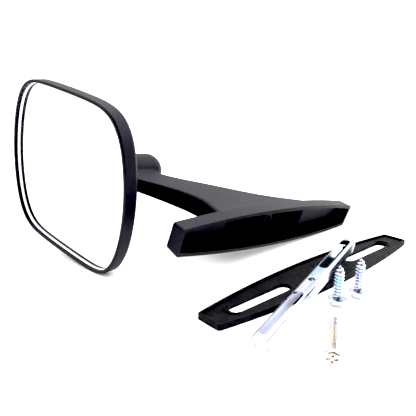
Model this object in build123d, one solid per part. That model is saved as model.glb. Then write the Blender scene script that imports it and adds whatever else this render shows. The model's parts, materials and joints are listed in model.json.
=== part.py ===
from build123d import *
import os
from math import asin, cos, degrees, pi, radians, sin, sqrt

# A door-mounted car side mirror lying on a table with its loose mounting kit beside it.
# Millimetres. +Z is up, the table top is z = 0 and X runs along the rubber mounting pad.

# ---------------------------------------------------------------- driving dimensions
# Foot, the hollow base of the arm that seats on the door
FOOT_HALF_LENGTH = 91.0
FOOT_END_HALF_WIDTH = 9.0
FOOT_MID_HALF_WIDTH = 14.6
FOOT_DEPTH = 10.4
FOOT_DRAFT = 0.5
FOOT_WALL = 2.4
FOOT_FLOOR = 2.4
FOOT_CORNER_R = 1.8
FOOT_EDGE_R = 0.9
FOOT_CAVITY_R = 1.2
# How the mirror lies: the foot's mounting plane on the table
FOOT_PLACE = (-35.2, -116.0, 20.17)
FOOT_HEADING = 183.1
FOOT_PITCH = -7.34
FOOT_ROLL = 73.55

# Arm sections, parallel to the door: height off the door, far edge, near edge, half thickness
ARM_SECTIONS = (
    (8.5, -64.0, 53.0, 9.0),
    (13.0, -59.0, 50.0, 8.4),
    (18.0, -50.5, 48.0, 7.8),
    (24.0, -37.0, 46.8, 7.4),
    (31.0, -21.5, 46.2, 7.1),
    (40.0, -5.5, 49.2, 6.8),
    (50.0, 9.0, 55.4, 6.4),
    (62.0, 25.2, 65.0, 5.6),
    (76.0, 43.5, 76.5, 4.9),
    (88.0, 58.0, 85.0, 4.7),
)
ARM_CORNER = 3.0
ARM_ROOT_BLEND = 3.0
BOSS_BLEND = 3.0
POCKET_SECTIONS = (
    (5.0, -44.0, 49.0, 6.6),
    (12.0, -28.0, 45.5, 5.4),
    (20.0, -17.0, 42.5, 4.7),
    (33.0, -5.0, 41.0, 4.2),
    (44.0, 6.0, 46.5, 3.8),
)
POCKET_CORNER = 2.2

# Ball joint: the ball's place off the foot, and the boss that carries its stud
BALL_ALONG = 98.5
BALL_OFF_DOOR = 94.2
BALL_R = 7.0
BOSS_R = 12.3
BOSS_END = 49.0
BOSS_START = 6.0
SOCKET_GAP = 0.3
SEAT_BACK_Z = -12.0
SEAT_FRONT_Z = -3.6
SEAT_FLARE = (8.0, 5.0, 9.0)
DOME_OUTER_R = 16.0
DOME_INNER_R = 13.5
DOME_HOLE_R = 9.1
COLLAR_OUTER_R = 17.2
COLLAR_HOLE_R = 6.4
NECK_R = 3.0
STUD_R = 4.0
STUD_RUNNING_GAP = 0.05
STUD_SHOULDER_R = 5.4
STUD_SHOULDER_END = 20.0
STUD_END = 47.0
STUD_GROOVE_AT = 34.5
STUD_GROOVE_WIDTH = 3.0
STUD_GROOVE_R = 3.2
LOCK_SCREW_R = 2.5
LOCK_SCREW_SINK = 1.5
LOCK_SCREW_DOG_R = 1.2
LOCK_SCREW_KEY = 2.5

# Head, turned on the ball: roll about the boss, then tilt, then pan
HEAD_ROLL = 6.4
HEAD_TILT = 6.0
HEAD_PAN = 5.7
HEAD_A = 62.2
HEAD_B = 55.4
HEAD_POWER = 6.8
HEAD_SIDE_BOW = 0.20
HEAD_TOP_BOW = 0.025
FACE_Z = 17.4
BAND_DEPTH = 7.7
BAND_WALL = 1.0
LIP_WIDTH = 1.9
LIP_THICKNESS = 2.4
LIP_ROUND = 0.9
GLASS_THICKNESS = 2.0
GLASS_FRONT_GAP = 0.9
GLASS_INSET = 1.3
PAD_THICKNESS = 1.0
PAD_INSET = 6.0
LEDGE_Z = 9.3
TONGUE_Z = 12.0
SHELL_WALL = 2.4
SHELL_RIM_WALL = 5.0
SHELL_EDGE = 0.4
SHELL_BACK_Z = -0.5
SHELL_BACK_R = 17.5
POST_RING_R = 20.0
POST_R = 3.2
RETAINER_Z = 8.5
RETAINER_THICKNESS = 1.2
RETAINER_R = 24.0
RETAINER_SCREW_R = 1.5
RETAINER_HEAD_R = 2.8
RETAINER_HEAD_HEIGHT = 1.3
RETAINER_CROSS = (2.8, 0.7, 1.0)
POST_HOLE_Z = 3.0
POST_FOOT_Z = 0.8
CUP_BASE_Z = 0.5
CUP_FLANGE_R = 12.5
CUP_FLANGE_THICKNESS = 1.5
CUP_BODY_R = 9.0
CUP_BODY_Z = 5.0
CUP_NOSE_R = 6.5
CUP_NOSE_Z = 9.0
SPRING_R = 10.6
SPRING_WIRE_R = 0.75
SPRING_TURNS = 2.5

# Mounting pad
PAD_PLACE = (-41.9, -155.8)
PAD_HALF_LENGTH = 93.0
PAD_END_HALF_WIDTH = 8.6
PAD_MID_HALF_WIDTH = 16.5
PAD_BASE = 2.2
PAD_LIP_HEIGHT = 3.5
PAD_LIP_WIDTH = 1.7
PAD_LIP_ROUND = 0.5
PAD_CORNER_R = 2.0
PAD_SLOT_CENTRE = 53.0
PAD_SLOT_LENGTH = 47.8
PAD_SLOT_WIDTH = 8.4
PAD_HOLE_R = 4.0
PAD_RIB_AT = 74.4
PAD_RIB_R = 5.2
PAD_RIB_WIDTH = 0.8
PAD_RIB_HEIGHT = 0.6

# Clamp bracket, an inverted channel leaning on the pad's lip
BRACKET_PLACE = (-70.6, -171.8)
BRACKET_HEADING = 15.7
BRACKET_HALF_LENGTH = 64.9
BRACKET_WIDTH = 8.6
BRACKET_HEIGHT = 7.4
BRACKET_SHEET = 1.2
BRACKET_BEND_R = 1.7
BRACKET_SLOT_CENTRE = 38.4
BRACKET_SLOT_LENGTH = 45.0
BRACKET_SLOT_WIDTH = 5.6
BRACKET_LEAN_RUN = 49.0
BRACKET_CHAMFER = 3.5
BRACKET_NECK_WALL = 0.9
BRACKET_NECK_LENGTH = 1.6

# Fasteners
CLAMP_THREAD_R = 2.0
CLAMP_CLEAR_R = 2.25
CLAMP_LENGTH = 38.0
CLAMP_HEAD_R = 4.0
CLAMP_HEAD_HEIGHT = 2.6
CLAMP_HEAD_ROUND = 1.2
CLAMP_CROSS = (4.6, 1.1, 1.7)
CLAMP_TIP_CHAMFER = 0.5
CLAMP_SEAT_Z = 36.0
CLAMP_SEAT_R = 4.7
CLAMP_PILLAR_FOOT_Z = 11.0
CLAMP_PLACE = (-114.7, -217.4)
CLAMP_HEADING = 33.8
DOOR_SCREW_PLACES = ((-65.9, -186.3), (-48.7, -188.4))
DOOR_SCREW_R = 2.7
DOOR_SCREW_LENGTH = 19.0
DOOR_SCREW_POINT = 4.0
DOOR_SCREW_HEX = 7.9
DOOR_SCREW_HEX_HEIGHT = 3.4
DOOR_SCREW_FLANGE_R = 5.3
DOOR_SCREW_FLANGE_HEIGHT = 1.0
DOOR_SCREW_DISH_R = 2.6
DOOR_SCREW_DISH_DEPTH = 0.8
DOOR_SCREW_TIP_R = 0.3

# ---------------------------------------------------------------- frames
MOUNT = Pos(*FOOT_PLACE) * Rot(0, 0, FOOT_HEADING) * Rot(0, FOOT_PITCH, 0) * Rot(FOOT_ROLL, 0, 0)
BALL = MOUNT * Pos(BALL_ALONG, 0, BALL_OFF_DOOR) * Rot(0, 90, 0)
HEAD = BALL * Rot(0, 0, HEAD_ROLL) * Rot(HEAD_TILT, 0, 0) * Rot(0, HEAD_PAN, 0)


# ---------------------------------------------------------------- shape helpers
def cylinder(radius, z0, z1):
    """A cylinder on the Z axis from z0 to z1."""
    return Pos(0, 0, z0) * Cylinder(radius, z1 - z0, align=(Align.CENTER, Align.CENTER, Align.MIN))


def head_outline(inset, z):
    """The head's face outline at height z, drawn in by inset."""
    return bowed_oval(HEAD_A - inset, HEAD_B - inset, HEAD_POWER, 1.0, z)


def bowed_oval(a, b, power, bow, z):
    """A rounded rectangle with half sizes a and b; bow is the share of the sides' outward curve."""
    count = 64
    points = []
    for k in range(count):
        c = cos(2 * pi * k / count)
        s = sin(2 * pi * k / count)
        reach = (abs(c) ** power + abs(s) ** power) ** (-1 / power)
        u = reach * c
        v = reach * s
        x = a * u * (1 - bow * HEAD_SIDE_BOW * v ** 2)
        y = b * v * (1 - bow * HEAD_TOP_BOW * u ** 2)
        points.append((x, y, z))
    return make_face(Spline(*points, periodic=True))


def head_ring(outer_inset, inner_inset, z0, z1):
    """A ring that follows the head's outline."""
    outer = extrude(head_outline(outer_inset, z0), z1 - z0)
    inner = extrude(head_outline(inner_inset, z0), z1 - z0)
    return outer - inner


def bowed_outline(half_length, end_half_width, mid_half_width, z):
    """The long outline of the foot and the pad: square ends and two bowed sides."""
    top = ThreePointArc((-half_length, end_half_width), (0, mid_half_width), (half_length, end_half_width))
    right = Line((half_length, end_half_width), (half_length, -end_half_width))
    low = ThreePointArc((half_length, -end_half_width), (0, -mid_half_width), (-half_length, -end_half_width))
    left = Line((-half_length, -end_half_width), (-half_length, end_half_width))
    return Pos(0, 0, z) * make_face(top + right + low + left)


def bowed_slab(half_length, end_half_width, mid_half_width, z0, z1, corner):
    """A slab of the bowed outline with rounded vertical corners."""
    slab = extrude(bowed_outline(half_length, end_half_width, mid_half_width, z0), z1 - z0)
    return fillet(slab.edges().filter_by(Axis.Z), corner)


def section_loft(sections, corner):
    """A smooth loft through rounded rectangles parallel to the door."""
    faces = []
    for z, far, near, half_thickness in sections:
        face = RectangleRounded(near - far, 2 * half_thickness, corner)
        faces.append(Pos((far + near) / 2, 0, z) * face)
    return loft(faces)


def slot(length, width, z0, z1):
    """A round-ended slot cutter along X."""
    return Pos(0, 0, z0) * extrude(SlotOverall(length, width), z1 - z0)


def cross_recess(span, width, depth):
    """A cruciform driver recess, cut downwards from z = 0."""
    arm = Box(span, width, depth, align=(Align.CENTER, Align.CENTER, Align.MAX))
    return arm + Rot(0, 0, 90) * arm


# ---------------------------------------------------------------- arm casting
def foot_body():
    rim = bowed_outline(FOOT_HALF_LENGTH, FOOT_END_HALF_WIDTH, FOOT_MID_HALF_WIDTH, 0)
    back = bowed_outline(
        FOOT_HALF_LENGTH - FOOT_DRAFT,
        FOOT_END_HALF_WIDTH - FOOT_DRAFT,
        FOOT_MID_HALF_WIDTH - FOOT_DRAFT,
        FOOT_DEPTH,
    )
    body = loft([rim, back], ruled=True)
    corners = [e for e in body.edges() if e.length < 1.2 * FOOT_DEPTH and abs(e.tangent_at(0.5).Z) > 0.9]
    body = fillet(corners, FOOT_CORNER_R)
    back_edges = body.faces().sort_by(Axis.Z)[-1].edges()
    return fillet(back_edges, FOOT_EDGE_R)


def foot_cavity():
    inner_length = FOOT_HALF_LENGTH - FOOT_WALL
    inner_end = FOOT_END_HALF_WIDTH - FOOT_WALL
    inner_mid = FOOT_MID_HALF_WIDTH - FOOT_WALL
    return bowed_slab(inner_length, inner_end, inner_mid, -1, FOOT_DEPTH - FOOT_FLOOR, FOOT_CAVITY_R)


def boss_body():
    """The boss on the ball joint's axis, rounded at its free end; its frame is the ball's."""
    tube = cylinder(BOSS_R, -BOSS_END, -BOSS_START)
    return tube + Pos(0, 0, -BOSS_END) * Sphere(BOSS_R)


def boss_cuts():
    """The ball-side seat, the stud's bore and shoulder recess, and the lock screw's hole."""
    seat = Sphere(COLLAR_OUTER_R)
    bore = cylinder(STUD_R + STUD_RUNNING_GAP, -STUD_END - 1, -COLLAR_OUTER_R + 2)
    recess = cylinder(STUD_SHOULDER_R + 0.3, -STUD_SHOULDER_END, -COLLAR_OUTER_R + 2)
    lock_hole = Pos(0, 0, -STUD_GROOVE_AT) * Rot(90, 0, 0) * cylinder(LOCK_SCREW_R, 0, BOSS_R + 2)
    return seat + bore + recess + lock_hole


def solid_casting(to_ball):
    """The foot, the arm and the boss, blended where they meet."""
    foot_and_arm = foot_body() + section_loft(ARM_SECTIONS, ARM_CORNER)
    back_edges = foot_and_arm.edges().filter_by_position(Axis.Z, FOOT_DEPTH - 0.05, FOOT_DEPTH + 0.05)
    root_edges = [e for e in back_edges if abs(e.center().X) < 60 and abs(e.center().Y) < 10]
    foot_and_arm = fillet(root_edges, ARM_ROOT_BLEND)
    casting = foot_and_arm + to_ball * boss_body()
    boss_low = BALL_OFF_DOOR - BOSS_R
    high_edges = casting.edges().filter_by_position(Axis.Z, boss_low, boss_low + 3)
    crease_edges = high_edges.filter_by(GeomType.BSPLINE)
    return fillet(crease_edges, BOSS_BLEND)


def mirror_arm():
    """Foot, arm and boss in one hollow casting."""
    to_ball = Pos(BALL_ALONG, 0, BALL_OFF_DOOR) * Rot(0, 90, 0)
    casting = solid_casting(to_ball)
    pillar = cylinder(CLAMP_SEAT_R, CLAMP_PILLAR_FOOT_Z, CLAMP_SEAT_Z)
    hollow = foot_cavity() + (section_loft(POCKET_SECTIONS, POCKET_CORNER) - pillar)
    clamp_hole = cylinder(CLAMP_CLEAR_R, -1, CLAMP_SEAT_Z + 1)
    clamp_seat = cylinder(CLAMP_SEAT_R, CLAMP_SEAT_Z, CLAMP_SEAT_Z + 40)
    return MOUNT * (casting - hollow - clamp_hole - clamp_seat - to_ball * boss_cuts())


# ---------------------------------------------------------------- ball joint
def collar_washer():
    """The dark nylon washer between the boss and the head's dome."""
    shell = Sphere(COLLAR_OUTER_R) - Sphere(DOME_OUTER_R + SOCKET_GAP)
    ring = cylinder(BOSS_R, -COLLAR_OUTER_R - 1, -BOSS_START)
    ring -= cylinder(COLLAR_HOLE_R, -COLLAR_OUTER_R - 2, 0)
    return BALL * (shell & ring)


def ball_stud():
    half_groove = STUD_GROOVE_WIDTH / 2
    groove = cylinder(STUD_R + 1, -STUD_GROOVE_AT - half_groove, -STUD_GROOVE_AT + half_groove)
    groove -= cylinder(STUD_GROOVE_R, -STUD_END, 0)
    shank = cylinder(STUD_R, -STUD_END, -STUD_SHOULDER_END + 0.1) - groove
    shoulder = cylinder(STUD_SHOULDER_R, -STUD_SHOULDER_END + 0.1, -COLLAR_OUTER_R - 0.3)
    neck = cylinder(NECK_R, -COLLAR_OUTER_R - 0.3, -BALL_R / 2)
    return BALL * (Sphere(BALL_R) + neck + shoulder + shank)


def stud_lock_screw():
    """A socket set screw whose dog point sits in the stud's groove."""
    body = cylinder(LOCK_SCREW_R, STUD_R + 0.6, BOSS_R - LOCK_SCREW_SINK)
    dog = cylinder(LOCK_SCREW_DOG_R, STUD_GROOVE_R + 0.25, STUD_R + 0.6)
    hexagon = RegularPolygon(LOCK_SCREW_KEY / 2, 6, major_radius=False)
    socket = Pos(0, 0, BOSS_R - LOCK_SCREW_SINK - LOCK_SCREW_KEY) * extrude(hexagon, LOCK_SCREW_KEY + 1)
    return BALL * Pos(0, 0, -STUD_GROOVE_AT) * Rot(90, 0, 0) * (body + dog - socket)


def tilt_frame():
    """The frame of the ball seat, which follows roll and tilt but not pan."""
    return BALL * Rot(0, 0, HEAD_ROLL) * Rot(HEAD_TILT, 0, 0)


def ball_seat():
    """The nylon seat behind the ball, round inside and out, with a flared way for the neck."""
    seat = Sphere(DOME_INNER_R - SOCKET_GAP) - Sphere(BALL_R + SOCKET_GAP)
    keep = cylinder(DOME_INNER_R, SEAT_BACK_Z, SEAT_FRONT_Z)
    flare = Pos(0, 0, SEAT_BACK_Z + 2.5) * Cone(*SEAT_FLARE)
    return tilt_frame() * ((seat & keep) - flare)


def pressure_cup():
    flange = cylinder(CUP_FLANGE_R, CUP_BASE_Z, CUP_BASE_Z + CUP_FLANGE_THICKNESS)
    body = cylinder(CUP_BODY_R, CUP_BASE_Z, CUP_BODY_Z)
    nose_height = CUP_NOSE_Z - CUP_BODY_Z
    nose = Pos(0, 0, CUP_BODY_Z + nose_height / 2) * Cone(CUP_BODY_R, CUP_NOSE_R, nose_height)
    return HEAD * (flange + body + nose - Sphere(BALL_R + SOCKET_GAP))


def cup_spring():
    base = CUP_BASE_Z + CUP_FLANGE_THICKNESS + SPRING_WIRE_R
    height = RETAINER_Z - SPRING_WIRE_R - base
    path = Pos(0, 0, base) * Helix(height / SPRING_TURNS, height, SPRING_R)
    section = Plane(origin=path @ 0, z_dir=path % 0) * Circle(SPRING_WIRE_R)
    return HEAD * sweep(section, path=path, is_frenet=True)


def post_places():
    return PolarLocations(POST_RING_R, 4, start_angle=45)


def spring_retainer():
    plate = cylinder(RETAINER_R, RETAINER_Z, RETAINER_Z + RETAINER_THICKNESS)
    plate -= cylinder(CUP_NOSE_R + 1.0, 0, 20)
    for place in post_places():
        plate -= place * cylinder(RETAINER_SCREW_R, 0, 20)
    return HEAD * plate


def retainer_screws():
    """Four pan-head screws that hold the retainer on the shell's posts."""
    top = RETAINER_Z + RETAINER_THICKNESS
    head = cylinder(RETAINER_HEAD_R, top, top + RETAINER_HEAD_HEIGHT)
    head -= Pos(0, 0, top + RETAINER_HEAD_HEIGHT) * cross_recess(*RETAINER_CROSS)
    screw = head + cylinder(RETAINER_SCREW_R, POST_HOLE_Z, top)
    return HEAD * Compound([place * screw for place in post_places()])


# ---------------------------------------------------------------- head
def shell_section(depth, wall):
    """The rear shell's outline at a share of its depth, thinned by the wall."""
    profile = sqrt(1 - depth ** 2)
    start_z = FACE_Z - BAND_DEPTH
    a = SHELL_BACK_R + (HEAD_A - SHELL_EDGE - SHELL_BACK_R) * profile
    b = SHELL_BACK_R + (HEAD_B - SHELL_EDGE - SHELL_BACK_R) * profile
    power = 2 + (HEAD_POWER - 2) * profile ** 2
    z = start_z + (SHELL_BACK_Z - start_z) * depth
    return bowed_oval(a - wall, b - wall, power, profile ** 2, z)


def shell_solid(wall, lift):
    """The shell's pillow shape; the inner one is drawn in by the wall and lifted off the back."""
    steps = 6
    depths = [sin(0.5 * pi * k / steps) for k in range(steps + 1)]
    faces = [Pos(0, 0, lift) * shell_section(depth, wall) for depth in depths]
    return loft(faces)


def rear_shell():
    rim_z = FACE_Z - BAND_DEPTH
    outer = shell_solid(0, 0) + (Sphere(DOME_OUTER_R) & cylinder(DOME_OUTER_R, -DOME_OUTER_R, 1.0))
    inner = shell_solid(SHELL_RIM_WALL, SHELL_WALL)
    inner += extrude(head_outline(SHELL_RIM_WALL + SHELL_EDGE, rim_z - 0.5), BAND_DEPTH)
    tongue = head_ring(BAND_WALL + 0.05, LIP_WIDTH + 0.1, rim_z, TONGUE_Z)
    ledge_cut = extrude(head_outline(LIP_WIDTH + 0.1, LEDGE_Z), BAND_DEPTH)
    shell = outer - inner - ledge_cut
    for place in post_places():
        post = cylinder(POST_R, POST_FOOT_Z, RETAINER_Z)
        shell += place * (post - cylinder(RETAINER_SCREW_R, POST_HOLE_Z, RETAINER_Z))
    shell -= Sphere(DOME_INNER_R)
    shell -= cylinder(DOME_HOLE_R, -DOME_OUTER_R - 1, -BOSS_START)
    return HEAD * (shell + tongue)


def front_bezel():
    rear = FACE_Z - BAND_DEPTH
    body = extrude(head_outline(0, rear), BAND_DEPTH)
    front_edges = body.faces().sort_by(Axis.Z)[-1].edges()
    body = fillet(front_edges, LIP_ROUND)
    cavity = extrude(head_outline(BAND_WALL, rear - 1), BAND_DEPTH + 1 - LIP_THICKNESS)
    opening = extrude(head_outline(LIP_WIDTH, rear - 1), BAND_DEPTH + 3)
    return HEAD * (body - cavity - opening)


def glass_front_z():
    return FACE_Z - LIP_THICKNESS - GLASS_FRONT_GAP


def mirror_glass():
    front = glass_front_z()
    return HEAD * extrude(head_outline(GLASS_INSET, front - GLASS_THICKNESS), GLASS_THICKNESS)


def glass_gasket():
    """A thin pale vinyl angle round the glass, between it and the bezel's lip."""
    lip_back = FACE_Z - LIP_THICKNESS
    wall = head_ring(BAND_WALL, GLASS_INSET, TONGUE_Z, lip_back)
    flange = head_ring(BAND_WALL, LIP_WIDTH + 0.1, lip_back - GLASS_FRONT_GAP, lip_back)
    return HEAD * (wall + flange)


def foam_pad():
    back = glass_front_z() - GLASS_THICKNESS
    return HEAD * extrude(head_outline(PAD_INSET, back - PAD_THICKNESS), PAD_THICKNESS)


def backing_plate():
    """The stiff sheet that carries the glass; its middle is open over the retainer's screws."""
    front = glass_front_z() - GLASS_THICKNESS - PAD_THICKNESS
    plate = extrude(head_outline(LIP_WIDTH + 0.2, LEDGE_Z), front - LEDGE_Z)
    return HEAD * (plate - cylinder(RETAINER_R + 2, 0, 20))


# ---------------------------------------------------------------- mounting kit
def pad_frame():
    return Pos(PAD_PLACE[0], PAD_PLACE[1], 0)


def mount_gasket():
    half = (PAD_HALF_LENGTH, PAD_END_HALF_WIDTH, PAD_MID_HALF_WIDTH)
    inner = [size - PAD_LIP_WIDTH for size in half]
    body = bowed_slab(*half, 0, PAD_LIP_HEIGHT, PAD_CORNER_R)
    body -= bowed_slab(*inner, PAD_BASE, PAD_LIP_HEIGHT + 1, PAD_CORNER_R - 0.8)
    lip_edges = body.edges().filter_by_position(Axis.Z, PAD_LIP_HEIGHT - 0.01, PAD_LIP_HEIGHT + 0.01)
    body = fillet(lip_edges, PAD_LIP_ROUND)
    for side in (-1, 1):
        body -= Pos(side * PAD_SLOT_CENTRE, 0, 0) * slot(PAD_SLOT_LENGTH, PAD_SLOT_WIDTH, -1, 5)
        rib = cylinder(PAD_RIB_R, PAD_BASE - 0.2, PAD_BASE + PAD_RIB_HEIGHT)
        rib -= cylinder(PAD_RIB_R - PAD_RIB_WIDTH, 0, PAD_LIP_HEIGHT)
        outer_half = Pos(side * PAD_RIB_R, 0, 0) * Box(2 * PAD_RIB_R, 4 * PAD_RIB_R, 4 * PAD_RIB_R)
        body += Pos(side * PAD_RIB_AT, 0, 0) * (rib & outer_half)
    body -= cylinder(PAD_HOLE_R, -1, 5)
    return pad_frame() * body


def bracket_frame():
    """The bracket's lower end stands on the table and its flanges lean on the pad's lip."""
    lean = degrees(asin(PAD_LIP_HEIGHT / BRACKET_LEAN_RUN))
    rise = (BRACKET_HALF_LENGTH - BRACKET_CHAMFER) * sin(radians(lean))
    place = Pos(BRACKET_PLACE[0], BRACKET_PLACE[1], rise)
    return place * Rot(0, 0, BRACKET_HEADING) * Rot(0, -lean, 0)


def mount_bracket():
    """A pressed channel with folded end tabs, two slots and a threaded middle hole."""
    half_width = BRACKET_WIDTH / 2
    outer = Pos(0, 0, BRACKET_HEIGHT / 2) * Box(2 * BRACKET_HALF_LENGTH, BRACKET_WIDTH, BRACKET_HEIGHT)
    outer = fillet(outer.edges().filter_by(Axis.X).group_by(Axis.Z)[-1], BRACKET_BEND_R)
    inner_height = BRACKET_HEIGHT - BRACKET_SHEET
    inner_half_length = BRACKET_HALF_LENGTH - BRACKET_SHEET
    inner = Box(2 * inner_half_length, 2 * (half_width - BRACKET_SHEET), inner_height + 1)
    inner = Pos(0, 0, (inner_height - 1) / 2) * inner
    inner = fillet(inner.edges().filter_by(Axis.X).group_by(Axis.Z)[-1], BRACKET_BEND_R - BRACKET_SHEET)
    channel = outer - inner
    for side in (-1, 1):
        cutter = slot(BRACKET_SLOT_LENGTH, BRACKET_SLOT_WIDTH, inner_height - 1, BRACKET_HEIGHT + 1)
        channel -= Pos(side * BRACKET_SLOT_CENTRE, 0, 0) * cutter
        side_of_square = BRACKET_CHAMFER * sqrt(2)
        corner = Rot(0, 45, 0) * Box(side_of_square, 2 * BRACKET_WIDTH, side_of_square)
        channel -= Pos(side * BRACKET_HALF_LENGTH, 0, 0) * corner
    neck = cylinder(CLAMP_THREAD_R + BRACKET_NECK_WALL, inner_height - BRACKET_NECK_LENGTH, inner_height)
    channel = channel + neck - cylinder(CLAMP_THREAD_R, 0, BRACKET_HEIGHT + 1)
    return bracket_frame() * channel


def door_screw(place):
    """A hex washer head sheet-metal screw standing on its head."""
    hexagon = extrude(RegularPolygon(DOOR_SCREW_HEX / 2, 6, major_radius=False), DOOR_SCREW_HEX_HEIGHT)
    flange_top = DOOR_SCREW_HEX_HEIGHT + DOOR_SCREW_FLANGE_HEIGHT
    flange = cylinder(DOOR_SCREW_FLANGE_R, DOOR_SCREW_HEX_HEIGHT, flange_top)
    point_base = flange_top + DOOR_SCREW_LENGTH - DOOR_SCREW_POINT
    shank = cylinder(DOOR_SCREW_R, flange_top, point_base)
    point = Cone(DOOR_SCREW_R, DOOR_SCREW_TIP_R, DOOR_SCREW_POINT)
    point = Pos(0, 0, point_base + DOOR_SCREW_POINT / 2) * point
    recess = cylinder(DOOR_SCREW_DISH_R, 0, DOOR_SCREW_DISH_DEPTH)
    return Pos(place[0], place[1], 0) * (hexagon - recess + flange + shank + point)


def clamp_screw():
    """The long pan-head machine screw, lying on its head's rim and its tip."""
    drop = degrees(asin((CLAMP_HEAD_R - CLAMP_THREAD_R) / CLAMP_LENGTH))
    frame = Pos(CLAMP_PLACE[0], CLAMP_PLACE[1], CLAMP_HEAD_R * cos(radians(drop)))
    frame = frame * Rot(0, 0, CLAMP_HEADING) * Rot(0, 90 + drop, 0)
    head = cylinder(CLAMP_HEAD_R, -CLAMP_HEAD_HEIGHT, 0)
    head = fillet(head.edges().sort_by(Axis.Z)[0], CLAMP_HEAD_ROUND)
    recess = Pos(0, 0, -CLAMP_HEAD_HEIGHT) * Rot(180, 0, 0) * cross_recess(*CLAMP_CROSS)
    shank = cylinder(CLAMP_THREAD_R, 0, CLAMP_LENGTH)
    shank = chamfer(shank.edges().sort_by(Axis.Z)[-1], CLAMP_TIP_CHAMFER)
    return frame * (head - recess + shank)


# ---------------------------------------------------------------- assembly
def build_nodes():
    nodes = {
        "mirror_arm": mirror_arm(),
        "collar_washer": collar_washer(),
        "stud_lock_screw": stud_lock_screw(),
        "ball_stud": ball_stud(),
        "ball_seat": ball_seat(),
        "pressure_cup": pressure_cup(),
        "cup_spring": cup_spring(),
        "spring_retainer": spring_retainer(),
        "retainer_screws": retainer_screws(),
        "rear_shell": rear_shell(),
        "front_bezel": front_bezel(),
        "backing_plate": backing_plate(),
        "foam_pad": foam_pad(),
        "mirror_glass": mirror_glass(),
        "glass_gasket": glass_gasket(),
        "mount_gasket": mount_gasket(),
        "mount_bracket": mount_bracket(),
        "clamp_screw": clamp_screw(),
    }
    for number, place in enumerate(DOOR_SCREW_PLACES, start=1):
        nodes[f"door_screw_{number}"] = door_screw(place)
    return nodes


def centring(nodes):
    """The shift that puts the origin under the middle of the whole set, on the table."""
    box = Compound(list(nodes.values())).bounding_box()
    return Pos(-(box.min.X + box.max.X) / 2, -(box.min.Y + box.max.Y) / 2, 0)


os.makedirs("parts", exist_ok=True)
NODES = build_nodes()
SHIFT = centring(NODES)
for name, shape in NODES.items():
    export_step(SHIFT * shape, f"parts/{name}.step")
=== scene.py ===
import json
import math

import bmesh
import bpy
from mathutils import Matrix, Vector

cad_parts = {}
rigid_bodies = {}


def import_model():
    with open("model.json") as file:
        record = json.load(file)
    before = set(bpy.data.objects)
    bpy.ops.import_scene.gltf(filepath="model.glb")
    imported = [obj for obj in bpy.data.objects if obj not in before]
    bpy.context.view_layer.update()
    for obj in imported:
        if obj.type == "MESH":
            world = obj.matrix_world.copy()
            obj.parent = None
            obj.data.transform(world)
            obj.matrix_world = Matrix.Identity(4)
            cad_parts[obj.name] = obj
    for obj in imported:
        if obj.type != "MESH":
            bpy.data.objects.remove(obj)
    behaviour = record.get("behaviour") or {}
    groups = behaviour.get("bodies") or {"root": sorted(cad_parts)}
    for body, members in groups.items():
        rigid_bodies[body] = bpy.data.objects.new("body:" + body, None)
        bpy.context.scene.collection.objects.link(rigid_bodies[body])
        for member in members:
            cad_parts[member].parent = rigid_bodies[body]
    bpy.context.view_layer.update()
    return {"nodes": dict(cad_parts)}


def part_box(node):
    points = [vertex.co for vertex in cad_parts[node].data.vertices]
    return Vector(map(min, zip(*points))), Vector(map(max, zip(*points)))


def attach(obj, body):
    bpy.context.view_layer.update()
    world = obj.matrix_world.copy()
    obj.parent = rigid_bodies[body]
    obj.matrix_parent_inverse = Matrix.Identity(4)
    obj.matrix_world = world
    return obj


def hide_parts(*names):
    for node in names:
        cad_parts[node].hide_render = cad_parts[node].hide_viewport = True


for leftover in list(bpy.data.objects):
    bpy.data.objects.remove(leftover)

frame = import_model()

MM = 0.001

# ---------------------------------------------------------------- camera and light
AIM_FROM_PAD = Vector((42.0 * MM, 155.7 * MM, 0.45 * MM))
VIEW_HEADING = math.radians(49.15)
VIEW_DOWN = math.radians(16.8)
VIEW_DISTANCE = 446.0 * MM
LENS_MM = 41.97
SENSOR_MM = 36.0
FLOOR_R = 0.75
FLOOR_DROP = 0.05 * MM
FLOOR_SIDES = 96
# Area lights face the origin: place, width and height in metres, and brightness
SOFTBOX_PLACE = (0.05, 0.25, 0.90)
SOFTBOX_SIZE = (1.3, 1.0)
SOFTBOX_RADIANCE = 2.4
FRONT_PLACE = (0.58, -0.44, 0.60)
FRONT_SIZE = (1.0, 0.7)
FRONT_RADIANCE = 3.6
STRIP_PLACE = (0.90, 0.42, 0.30)
STRIP_SIZE = (0.55, 0.30)
STRIP_RADIANCE = 1.3
# The studio's walls: brightness for the eye and soft fill, and the range that gloss picks up
STUDIO_FILL = 1.7
STUDIO_WHITE = 1.2
STUDIO_DIM = 0.16
BRIGHT_SIDE = math.radians(80)
BRIGHT_LIFT = 0.25
BRIGHT_EDGE = 0.35
# Levels that print as black and as white
BLACK_POINT = 0.034
WHITE_POINT = 0.78

# ---------------------------------------------------------------- loose fasteners
DOOR_THREAD_R = 2.75 * MM
DOOR_ROOT_R = 1.95 * MM
DOOR_PITCH = 1.9 * MM
DOOR_HEX_FLATS = 7.9 * MM
DOOR_HEX_HEIGHT = 3.4 * MM
DOOR_HEX_DRAFT = 0.04
DOOR_HEX_BEVEL = 0.22 * MM
DOOR_HEX_OVERLAP = 0.2 * MM
DOOR_DISH_R = 2.9 * MM
DOOR_DISH_FLOOR_R = 2.6 * MM
DOOR_DISH_BELOW = 1 * MM
DOOR_DISH_DEPTH = 0.7 * MM
DOOR_DISH_MIDDLE = 0.9 * MM
DOOR_DISH_SIDES = 48
DOOR_FLANGE_R = 5.3 * MM
DOOR_FLANGE_TOP = 4.4 * MM
DOOR_FLANGE_SEAT_R = 4.2 * MM
DOOR_FLANGE_FALL = 0.3 * MM
DOOR_FLANGE_BEVEL = 0.25 * MM
DOOR_BOSS_R = 2.6 * MM
DOOR_BOSS_RISE = 0.05 * MM
DOOR_LENGTH = 19.0 * MM
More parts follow.
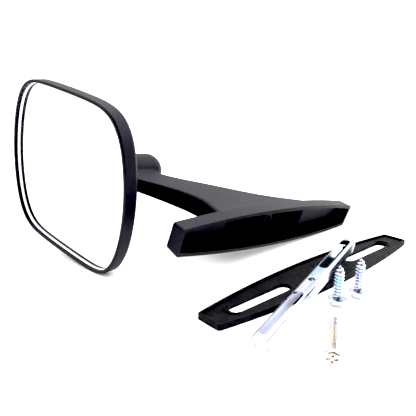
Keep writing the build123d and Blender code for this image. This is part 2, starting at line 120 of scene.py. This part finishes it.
SHANK_OVERLAP = 0.3 * MM
CLAMP_THREAD_R = 2.0 * MM
CLAMP_ROOT_R = 1.62 * MM
CLAMP_PITCH = 0.7 * MM
CLAMP_LENGTH = 38.0 * MM
CLAMP_HEAD_R = 4.0 * MM
CLAMP_HEAD_HEIGHT = 2.6 * MM
CLAMP_HEADING = math.radians(33.8)
# Shares of the head's radius and height, from the middle of its top to the shank
CLAMP_PAN_PROFILE = (
    (0, 1.0), (0.45, 0.99), (0.72, 0.93), (0.90, 0.76),
    (0.98, 0.50), (1.0, 0.22), (0.985, 0.04), (0.95, 0), (0, 0),
)
CLAMP_SLOT_WIDTH = 1.5 * MM
CLAMP_SLOT_SPAN = 5.6 * MM
CLAMP_SLOT_DEPTH = 1.75 * MM
CLAMP_SLOT_TAPER = 0.35
CLAMP_BLADE = 2.0 * MM


# ---------------------------------------------------------------- node helpers
# Nearly all of a noise's values lie between these two
NOISE_LOW = 0.25
NOISE_HIGH = 0.75


class Shader:
    """A material and short calls that add nodes to it."""

    def __init__(self, name, colour, roughness, metallic=0.0):
        self.material = bpy.data.materials.new(name)
        self.material.use_nodes = True
        self.tree = self.material.node_tree
        self.bsdf = self.tree.nodes["Principled BSDF"]
        self.set("Base Color", (*colour, 1.0))
        self.set("Roughness", roughness)
        self.set("Metallic", metallic)
        self.coordinates = self.tree.nodes.new("ShaderNodeTexCoord")

    def set(self, socket, value):
        self.bsdf.inputs[socket].default_value = value

    def node(self, kind, **inputs):
        made = self.tree.nodes.new(kind)
        for name, value in inputs.items():
            self.plug(made.inputs[name], value)
        return made

    def plug(self, socket, value):
        if isinstance(value, bpy.types.NodeSocket):
            self.tree.links.new(value, socket)
        else:
            socket.default_value = value

    def place(self, stretch=(1.0, 1.0, 1.0), turn=0.0):
        """Object coordinates, turned about Z and stretched."""
        mapping = self.node("ShaderNodeMapping", Vector=self.coordinates.outputs["Object"])
        mapping.vector_type = "TEXTURE"
        mapping.inputs["Rotation"].default_value = (0.0, 0.0, turn)
        mapping.inputs["Scale"].default_value = stretch
        return mapping.outputs["Vector"]

    def noise(self, size, detail=2.0, roughness=0.5, where=None):
        """Noise whose features are about size metres across."""
        where = where or self.coordinates.outputs["Object"]
        made = self.node("ShaderNodeTexNoise", Vector=where, Scale=1.0 / size)
        made.inputs["Detail"].default_value = detail
        made.inputs["Roughness"].default_value = roughness
        return made.outputs["Fac"]

    def cells(self, size):
        """Distance to the middle of cells that are about size metres across."""
        where = self.coordinates.outputs["Object"]
        made = self.node("ShaderNodeTexVoronoi", Vector=where, Scale=1.0 / size)
        return made.outputs["Distance"]

    def ramp(self, value, *stops):
        """A colour ramp of (position, colour) stops."""
        made = self.node("ShaderNodeValToRGB", Fac=value)
        elements = made.color_ramp.elements
        while len(elements) < len(stops):
            elements.new(0.5)
        for element, (position, colour) in zip(elements, stops):
            element.position = position
            element.color = (*colour, 1.0)
        return made.outputs["Color"]

    def colour(self, value):
        self.plug(self.bsdf.inputs["Base Color"], value)

    def mottle(self, value, first, last, start=0.3, end=0.7):
        """Base colour that goes from first to last while value goes from start to end."""
        self.colour(self.ramp(value, (start, first), (end, last)))

    def roughness(self, value, low, high):
        """Roughness that follows value from low to high."""
        spread = self.node("ShaderNodeMapRange", Value=value)
        spread.inputs["From Min"].default_value = NOISE_LOW
        spread.inputs["From Max"].default_value = NOISE_HIGH
        spread.inputs["To Min"].default_value = low
        spread.inputs["To Max"].default_value = high
        self.plug(self.bsdf.inputs["Roughness"], spread.outputs["Result"])

    def bump(self, height, depth, strength):
        """Adds a bump of depth metres over the ones before it."""
        made = self.node("ShaderNodeBump", Height=height, Strength=strength, Distance=depth)
        before = self.bsdf.inputs["Normal"].links
        if before:
            self.tree.links.new(before[0].from_socket, made.inputs["Normal"])
        self.plug(self.bsdf.inputs["Normal"], made.outputs["Normal"])


# ---------------------------------------------------------------- materials
def black_plastic():
    """Satin black moulding with a fine even grain."""
    s = Shader("satin_black_plastic", (0.0055, 0.0050, 0.0064), 0.54)
    s.set("Specular IOR Level", 0.28)
    s.set("Specular Tint", (0.84, 0.81, 1.0, 1.0))
    cloud = s.noise(size=0.03, detail=3.0)
    s.mottle(cloud, (0.0046, 0.0041, 0.0054), (0.0068, 0.0061, 0.0078))
    s.roughness(s.noise(size=0.0011, detail=4.0), low=0.48, high=0.60)
    grain = s.noise(size=0.00042, detail=3.0, roughness=0.6)
    s.bump(grain, depth=0.00003, strength=0.55)
    s.bump(s.noise(size=0.009, detail=2.0), depth=0.00008, strength=0.25)
    return s.material


def black_rubber():
    """Moulded rubber: dull, a little dusty, with a fine pebbled skin."""
    s = Shader("moulded_black_rubber", (0.007, 0.0067, 0.008), 0.7)
    s.set("Specular IOR Level", 0.2)
    dust = s.noise(size=0.012, detail=5.0, roughness=0.6)
    s.mottle(dust, (0.0055, 0.0051, 0.0066), (0.0100, 0.0094, 0.0116), start=0.35, end=0.75)
    s.roughness(s.noise(size=0.004, detail=4.0), low=0.62, high=0.80)
    s.bump(s.cells(size=0.0007), depth=0.00003, strength=0.5)
    s.bump(s.noise(size=0.006, detail=3.0), depth=0.00010, strength=0.3)
    return s.material


# Colour bands and fine scratches in zinc run at this heading, nearly along the bracket
ZINC_GRAIN = math.radians(17.2)
# Zinc's tints are spread evenly over this span of its colour ramp
TINT_START = 0.30
TINT_SPAN = 0.40


def zinc(name, tints, roughness_low, roughness_high, band):
    """Passivated zinc plate: bright metal with faint colours that drift over it."""
    s = Shader(name, tints[1], roughness_low, metallic=1.0)
    bands = s.place(stretch=(band * 3.0, band, band), turn=ZINC_GRAIN)
    drift = s.noise(size=1.0, detail=3.0, roughness=0.55, where=bands)
    last = len(tints) - 1
    stops = [(TINT_START + TINT_SPAN * i / last, tint) for i, tint in enumerate(tints)]
    s.colour(s.ramp(drift, *stops))
    dulling = s.noise(size=0.0015, detail=5.0, roughness=0.65)
    s.roughness(dulling, low=roughness_low, high=roughness_high)
    scratches = s.place(stretch=(0.012, 0.0003, 0.0003), turn=ZINC_GRAIN)
    s.bump(s.noise(size=1.0, detail=4.0, where=scratches), depth=0.00001, strength=0.4)
    return s.material


def bright_zinc():
    """Zinc with a cool blue passivation, as on the bracket and the door screws."""
    tints = ((0.35, 0.47, 0.64), (0.52, 0.55, 0.59), (0.42, 0.42, 0.60), (0.35, 0.55, 0.61))
    return zinc("blue_passivated_zinc", tints, roughness_low=0.10, roughness_high=0.18, band=0.010)


def yellow_zinc():
    """Zinc with a straw and faint violet passivation."""
    tints = ((0.84, 0.72, 0.44), (0.86, 0.80, 0.68), (0.74, 0.64, 0.80), (0.84, 0.68, 0.38))
    return zinc("yellow_passivated_zinc", tints, roughness_low=0.20, roughness_high=0.34, band=0.003)


def steel(name, colour, roughness):
    """Turned or drawn steel with a fine grain and an oil film's slight mottle."""
    s = Shader(name, colour, roughness, metallic=1.0)
    dark = tuple(0.82 * c for c in colour)
    s.mottle(s.noise(size=0.004, detail=5.0), dark, colour)
    s.roughness(s.noise(size=0.0009, detail=4.0), low=roughness - 0.06, high=roughness + 0.08)
    s.bump(s.noise(size=0.00025, detail=2.0), depth=0.00001, strength=0.4)
    return s.material


def nylon(name, colour):
    """Unfilled or filled nylon, waxy with a light scatter under the skin."""
    s = Shader(name, colour, 0.42)
    s.set("Subsurface Weight", 0.12)
    s.set("Subsurface Radius", (0.0012, 0.0010, 0.0008))
    dark = tuple(0.90 * c for c in colour)
    s.mottle(s.noise(size=0.006, detail=4.0), dark, colour)
    s.roughness(s.noise(size=0.0012, detail=3.0), low=0.36, high=0.5)
    s.bump(s.noise(size=0.0005, detail=2.0), depth=0.00002, strength=0.4)
    return s.material


def plate_board():
    """Grey pressed sheet with a fibrous face."""
    s = Shader("pressed_board", (0.20, 0.19, 0.18), 0.8)
    fibres = s.noise(size=1.0, detail=5.0, where=s.place(stretch=(0.003, 0.0006, 0.0006)))
    s.mottle(fibres, (0.15, 0.145, 0.14), (0.24, 0.23, 0.22))
    s.roughness(fibres, low=0.7, high=0.9)
    s.bump(fibres, depth=0.00005, strength=0.5)
    return s.material


def foam():
    """Closed-cell foam with a fine pored skin; each pore's pit is painted darker as painted shade."""
    s = Shader("closed_cell_foam", (0.10, 0.10, 0.11), 0.95)
    pores_and_shade = s.cells(size=0.0009)
    # The colour is darkest in each pore's pit, where the bump sinks the skin: painted shade in the
    # hollows
    s.mottle(pores_and_shade, (0.03, 0.03, 0.033), (0.13, 0.13, 0.14), start=0.15, end=0.55)
    s.roughness(pores_and_shade, low=0.9, high=1.0)
    s.bump(pores_and_shade, depth=0.0003, strength=0.8)
    return s.material


def mirror_coat():
    """Silvered glass, faintly uneven as drawn glass is."""
    s = Shader("silvered_glass", (0.95, 0.96, 0.965), 0.012, metallic=1.0)
    s.mottle(s.noise(size=0.05, detail=2.0), (0.945, 0.957, 0.962), (0.960, 0.966, 0.970))
    s.roughness(s.noise(size=0.0006, detail=3.0), low=0.008, high=0.022)
    s.bump(s.noise(size=0.03, detail=1.0), depth=0.000004, strength=0.3)
    return s.material


def pale_vinyl():
    """Glossy pale vinyl with a faint cool mottle and a fine grain."""
    s = Shader("pale_vinyl", (0.86, 0.87, 0.88), 0.25)
    s.mottle(s.noise(size=0.004, detail=4.0), (0.82, 0.83, 0.85), (0.90, 0.90, 0.90))
    s.roughness(s.noise(size=0.0008, detail=3.0), low=0.18, high=0.34)
    s.bump(s.noise(size=0.0004, detail=2.0), depth=0.00001, strength=0.4)
    return s.material


MATERIALS = {
    "black_plastic": black_plastic(),
    "black_rubber": black_rubber(),
    "bright_zinc": bright_zinc(),
    "yellow_zinc": yellow_zinc(),
    "stud_steel": steel("turned_steel", (0.60, 0.60, 0.61), 0.28),
    "spring_steel": steel("drawn_spring_wire", (0.36, 0.36, 0.38), 0.34),
    "collar_nylon": nylon("filled_nylon", (0.055, 0.055, 0.06)),
    "white_nylon": nylon("natural_nylon", (0.78, 0.77, 0.72)),
    "plate_board": plate_board(),
    "foam": foam(),
    "mirror_coat": mirror_coat(),
    "pale_vinyl": pale_vinyl(),
}
SLOT_OF_NODE = {
    node: material_slot.material.name
    for node, cad in frame["nodes"].items()
    for material_slot in cad.material_slots
}
for node, slot_name in SLOT_OF_NODE.items():
    for material_slot in frame["nodes"][node].material_slots:
        material_slot.material = MATERIALS[slot_name.split(".")[0]]


# ---------------------------------------------------------------- mesh helpers
ON_AXIS = 1e-9
THREAD_SIDES = 48
THREAD_ROWS_PER_TURN = 16
# A ridge is a triangle wave this much too high, cut off flat at the crest
THREAD_CREST_CUT = 1.25
# The thread keeps its full height until one part in this many of the tip is left
THREAD_RUN_OUT = 3.0
EDGE_ANGLE = math.radians(35.0)
SMOOTH_ANGLE = math.radians(40.0)


def middle(low, high):
    return (Vector(low) + Vector(high)) / 2


def new_object(name, mesh):
    made = bpy.data.objects.new(name, mesh)
    bpy.context.scene.collection.objects.link(made)
    return made


def lathe(name, profile, segments=72):
    """A closed solid turned about Z from (radius, z) points that start and end on the axis."""
    work = bmesh.new()
    rings = []
    for radius, z in profile:
        if radius < ON_AXIS:
            rings.append([work.verts.new((0.0, 0.0, z))])
            continue
        ring = []
        for k in range(segments):
            angle = 2.0 * math.pi * k / segments
            ring.append(work.verts.new((radius * math.cos(angle), radius * math.sin(angle), z)))
        rings.append(ring)
    for low, high in zip(rings, rings[1:]):
        for k in range(segments):
            n = (k + 1) % segments
            corners = [low[k % len(low)], low[n % len(low)], high[n % len(high)], high[k % len(high)]]
            corners = list(dict.fromkeys(corners))
            work.faces.new(corners)
    bmesh.ops.recalc_face_normals(work, faces=work.faces)
    mesh = bpy.data.meshes.new(name)
    work.to_mesh(mesh)
    work.free()
    return new_object(name, mesh)


def threaded_rod(name, z0, z1, pitch, root, crest, ridge_share, fade, tip_root, tip_length):
    """A rod with a helical thread from z0 up to z1; it fades in over fade and tapers to its tip."""
    rows = int(round((z1 - z0) / pitch * THREAD_ROWS_PER_TURN))
    work = bmesh.new()
    rings = []
    for j in range(rows + 1):
        z = z0 + (z1 - z0) * j / rows
        taper = min(1.0, (z1 - z) / tip_length)
        growth = min(1.0, (z - z0) / fade)
        base = tip_root + (root - tip_root) * taper
        height = (crest - root) * growth * min(1.0, THREAD_RUN_OUT * taper)
        ring = []
        for k in range(THREAD_SIDES):
            phase = (z / pitch - k / THREAD_SIDES) % 1.0
            ridge = max(0.0, 1.0 - abs(phase - 0.5) / (0.5 * ridge_share))
            radius = base + height * min(1.0, THREAD_CREST_CUT * ridge)
            angle = 2.0 * math.pi * k / THREAD_SIDES
            ring.append(work.verts.new((radius * math.cos(angle), radius * math.sin(angle), z)))
        rings.append(ring)
    for low, high in zip(rings, rings[1:]):
        for k in range(THREAD_SIDES):
            n = (k + 1) % THREAD_SIDES
            work.faces.new((low[k], low[n], high[n], high[k]))
    work.faces.new(rings[0][::-1])
    work.faces.new(rings[-1])
    bmesh.ops.recalc_face_normals(work, faces=work.faces)
    mesh = bpy.data.meshes.new(name)
    work.to_mesh(mesh)
    work.free()
    return new_object(name, mesh)


def prism(name, corners, z0, z1, draw_in):
    """A solid between two copies of a flat outline; the lower one is drawn in by a share."""
    work = bmesh.new()
    share = 1.0 - draw_in
    low = [work.verts.new((x * share, y * share, z0)) for x, y in corners]
    high = [work.verts.new((x, y, z1)) for x, y in corners]
    work.faces.new(low[::-1])
    work.faces.new(high)
    for k in range(len(corners)):
        n = (k + 1) % len(corners)
        work.faces.new((low[k], low[n], high[n], high[k]))
    mesh = bpy.data.meshes.new(name)
    work.to_mesh(mesh)
    work.free()
    return new_object(name, mesh)


def combine(target, tool, operation):
    """Applies an exact boolean of tool to target and removes tool."""
    modifier = target.modifiers.new("combine", "BOOLEAN")
    modifier.operation = operation
    modifier.object = tool
    modifier.solver = "EXACT"
    apply_modifiers(target)
    bpy.data.objects.remove(tool)


def apply_modifiers(target):
    """Makes the mesh that the modifiers give the target's own."""
    evaluated = target.evaluated_get(bpy.context.evaluated_depsgraph_get())
    mesh = bpy.data.meshes.new_from_object(evaluated)
    target.modifiers.clear()
    target.data = mesh


def soften(target, width):
    """Rounds the hard edges of target in its mesh."""
    modifier = target.modifiers.new("soften", "BEVEL")
    modifier.width = width
    modifier.segments = 2
    modifier.limit_method = "ANGLE"
    modifier.angle_limit = EDGE_ANGLE
    apply_modifiers(target)


def finish_piece(target, node, body):
    """Gives a refined piece its material, slot and body, and lets it stand for its CAD node."""
    slot_name = SLOT_OF_NODE[node].split(".")[0]
    target.data.materials.clear()
    target.data.materials.append(MATERIALS[slot_name])
    target.data.shade_smooth()
    target.data.set_sharp_from_angle(angle=SMOOTH_ANGLE)
    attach(target, body)
    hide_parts(node)


# ---------------------------------------------------------------- fasteners
def hexagon(flats):
    """Corners of a regular hexagon that measures flats between opposite sides."""
    corner = flats / math.sqrt(3.0)
    angles = [math.radians(60 * k) for k in range(6)]
    return [(corner * math.cos(a), corner * math.sin(a)) for a in angles]


def door_screw(number):
    """A hex washer head sheet-metal screw that stands on its head."""
    node = f"door_screw_{number}"
    low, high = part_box(node)
    hex_top = DOOR_HEX_HEIGHT + DOOR_HEX_OVERLAP
    head = prism("hex", hexagon(DOOR_HEX_FLATS), 0.0, hex_top, draw_in=DOOR_HEX_DRAFT)
    soften(head, DOOR_HEX_BEVEL)
    dish = lathe("dish", [
        (0, -DOOR_DISH_BELOW),
        (DOOR_DISH_R, -DOOR_DISH_BELOW),
        (DOOR_DISH_FLOOR_R, DOOR_DISH_DEPTH),
        (0, DOOR_DISH_MIDDLE),
    ], DOOR_DISH_SIDES)
    combine(head, dish, "DIFFERENCE")
    top = DOOR_FLANGE_TOP
    flange = lathe("flange", [
        (0, DOOR_HEX_HEIGHT - DOOR_FLANGE_FALL),
        (DOOR_FLANGE_SEAT_R, DOOR_HEX_HEIGHT - DOOR_FLANGE_FALL),
        (DOOR_FLANGE_R - DOOR_FLANGE_FALL, DOOR_HEX_HEIGHT),
        (DOOR_FLANGE_R, DOOR_HEX_HEIGHT + DOOR_FLANGE_BEVEL),
        (DOOR_FLANGE_R, top - DOOR_FLANGE_BEVEL),
        (DOOR_FLANGE_R - DOOR_FLANGE_BEVEL, top),
        (DOOR_BOSS_R, top + DOOR_BOSS_RISE),
        (0, top + DOOR_BOSS_RISE),
    ])
    combine(head, flange, "UNION")
    shank = threaded_rod(
        "shank", top - SHANK_OVERLAP, top + DOOR_LENGTH,
        pitch=DOOR_PITCH, root=DOOR_ROOT_R, crest=DOOR_THREAD_R, ridge_share=0.62,
        fade=1.2 * MM, tip_root=0.25 * MM, tip_length=4.0 * MM,
    )
    combine(head, shank, "UNION")
    head.name = node + "_threaded"
    foot = middle(low, high)
    head.data.transform(Matrix.Translation((foot.x, foot.y, low.z)))
    finish_piece(head, node, f"screw_{number}")


def clamp_screw():
    """The long machine screw with a cross recess, lying on its head's rim and its tip."""
    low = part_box("clamp_screw")[0]
    h = CLAMP_HEAD_HEIGHT
    r = CLAMP_HEAD_R
    head = lathe("pan", [(out * r, -up * h) for out, up in CLAMP_PAN_PROFILE])
    x = CLAMP_SLOT_WIDTH / 2
    y = CLAMP_SLOT_SPAN / 2
    # The cross is cut by a tapered blade whose narrow end is the bottom of the recess
    upside_down = Matrix.Rotation(math.pi, 4, "X") @ Matrix.Translation((0, 0, -CLAMP_BLADE))
    sunk = Matrix.Translation((0, 0, -h + CLAMP_SLOT_DEPTH - CLAMP_BLADE))
    for turn in (0.0, math.pi / 2):
        corners = [(-x, -y), (x, -y), (x, y), (-x, y)]
        blade = prism("blade", corners, 0.0, CLAMP_BLADE, draw_in=CLAMP_SLOT_TAPER)
        blade.data.transform(sunk @ Matrix.Rotation(turn, 4, "Z") @ upside_down)
        combine(head, blade, "DIFFERENCE")
    shank = threaded_rod(
        "shank", -SHANK_OVERLAP, CLAMP_LENGTH,
        pitch=CLAMP_PITCH, root=CLAMP_ROOT_R, crest=CLAMP_THREAD_R, ridge_share=0.95,
        fade=1.5 * MM, tip_root=1.3 * MM, tip_length=1.2 * MM,
    )
    combine(head, shank, "UNION")
    droop = math.asin((CLAMP_HEAD_R - CLAMP_THREAD_R) / CLAMP_LENGTH)
    lying = Matrix.Rotation(math.pi / 2 + droop, 4, "Y")
    head.data.transform(Matrix.Rotation(CLAMP_HEADING, 4, "Z") @ lying)
    reach = [v.co for v in head.data.vertices]
    shift = Vector((
        low.x - min(p.x for p in reach),
        low.y - min(p.y for p in reach),
        low.z - min(p.z for p in reach),
    ))
    head.data.transform(Matrix.Translation(shift))
    head.name = "clamp_screw_threaded"
    finish_piece(head, "clamp_screw", "clamp")


for number in (1, 2):
    door_screw(number)
clamp_screw()


# ---------------------------------------------------------------- stage
def floor():
    """A large pale table top."""
    work = bmesh.new()
    bmesh.ops.create_circle(work, cap_ends=True, segments=FLOOR_SIDES, radius=FLOOR_R)
    mesh = bpy.data.meshes.new("floor")
    work.to_mesh(mesh)
    work.free()
    made = new_object("floor", mesh)
    made.location.z = -FLOOR_DROP
    s = Shader("pale_table", (0.94, 0.94, 0.94), 0.7)
    s.set("Specular IOR Level", 0.2)
    s.mottle(s.noise(size=0.4, detail=2.0), (0.935, 0.933, 0.930), (0.950, 0.950, 0.950))
    made.data.materials.append(s.material)


def area_light(name, place, size, radiance):
    """A soft rectangular light that faces the origin."""
    data = bpy.data.lights.new(name, "AREA")
    data.shape = "RECTANGLE"
    data.size, data.size_y = size
    data.energy = radiance * math.pi * size[0] * size[1]
    made = bpy.data.objects.new(name, data)
    bpy.context.scene.collection.objects.link(made)
    made.location = place
    made.rotation_mode = "QUATERNION"
    made.rotation_quaternion = (-Vector(place)).to_track_quat("-Z", "Y")


def world():
    """A white studio, even for the eye and soft fill; gloss sees one side of it brighter."""
    made = bpy.data.worlds.new("studio")
    bpy.context.scene.world = made
    made.use_nodes = True
    tree = made.node_tree
    background = tree.nodes["Background"]
    coordinates = tree.nodes.new("ShaderNodeTexCoord")
    backdrop = tree.nodes.new("ShaderNodeVectorMath")
    backdrop.operation = "DOT_PRODUCT"
    backdrop.inputs[1].default_value = (math.cos(BRIGHT_SIDE), math.sin(BRIGHT_SIDE), BRIGHT_LIFT)
    tree.links.new(coordinates.outputs["Generated"], backdrop.inputs[0])
    spread = tree.nodes.new("ShaderNodeMapRange")
    spread.interpolation_type = "SMOOTHSTEP"
    spread.inputs["From Min"].default_value = -BRIGHT_EDGE
    spread.inputs["From Max"].default_value = BRIGHT_EDGE
    spread.inputs["To Min"].default_value = STUDIO_DIM
    spread.inputs["To Max"].default_value = STUDIO_WHITE
    tree.links.new(backdrop.outputs["Value"], spread.inputs["Value"])
    path = tree.nodes.new("ShaderNodeLightPath")
    even = tree.nodes.new("ShaderNodeMath")
    even.operation = "MAXIMUM"
    tree.links.new(path.outputs["Is Camera Ray"], even.inputs[0])
    tree.links.new(path.outputs["Is Diffuse Ray"], even.inputs[1])
    seen = tree.nodes.new("ShaderNodeMix")
    seen.inputs["B"].default_value = STUDIO_FILL
    tree.links.new(even.outputs["Value"], seen.inputs["Factor"])
    tree.links.new(spread.outputs["Result"], seen.inputs["A"])
    tree.links.new(seen.outputs["Result"], background.inputs["Strength"])
    background.inputs["Color"].default_value = (1.0, 1.0, 1.0, 1.0)


def camera():
    """Looks down at the mirror from the front, aimed at a point off the pad's middle."""
    data = bpy.data.cameras.new("camera")
    data.lens = LENS_MM
    data.sensor_width = SENSOR_MM
    data.clip_start = 10.0 * MM
    made = bpy.data.objects.new("camera", data)
    bpy.context.scene.collection.objects.link(made)
    ahead = Vector((
        math.cos(VIEW_DOWN) * math.cos(VIEW_HEADING),
        math.cos(VIEW_DOWN) * math.sin(VIEW_HEADING),
        -math.sin(VIEW_DOWN),
    ))
    pad = middle(*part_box("mount_gasket"))
    aim = Vector((pad.x, pad.y, 0.0)) + AIM_FROM_PAD
    made.location = aim - VIEW_DISTANCE * ahead
    made.rotation_mode = "QUATERNION"
    made.rotation_quaternion = ahead.to_track_quat("-Z", "Y")
    bpy.context.scene.camera = made


def tones():
    """Plain tones with a clean white and a deep black, as a studio print has."""
    settings = bpy.context.scene.view_settings
    settings.view_transform = "Standard"
    settings.use_curve_mapping = True
    settings.curve_mapping.black_level = (BLACK_POINT,) * 3
    settings.curve_mapping.white_level = (WHITE_POINT,) * 3
    settings.curve_mapping.update()


floor()
area_light("overhead_softbox", SOFTBOX_PLACE, SOFTBOX_SIZE, SOFTBOX_RADIANCE)
area_light("front_softbox", FRONT_PLACE, FRONT_SIZE, FRONT_RADIANCE)
area_light("side_strip", STRIP_PLACE, STRIP_SIZE, STRIP_RADIANCE)
world()
camera()
tones()
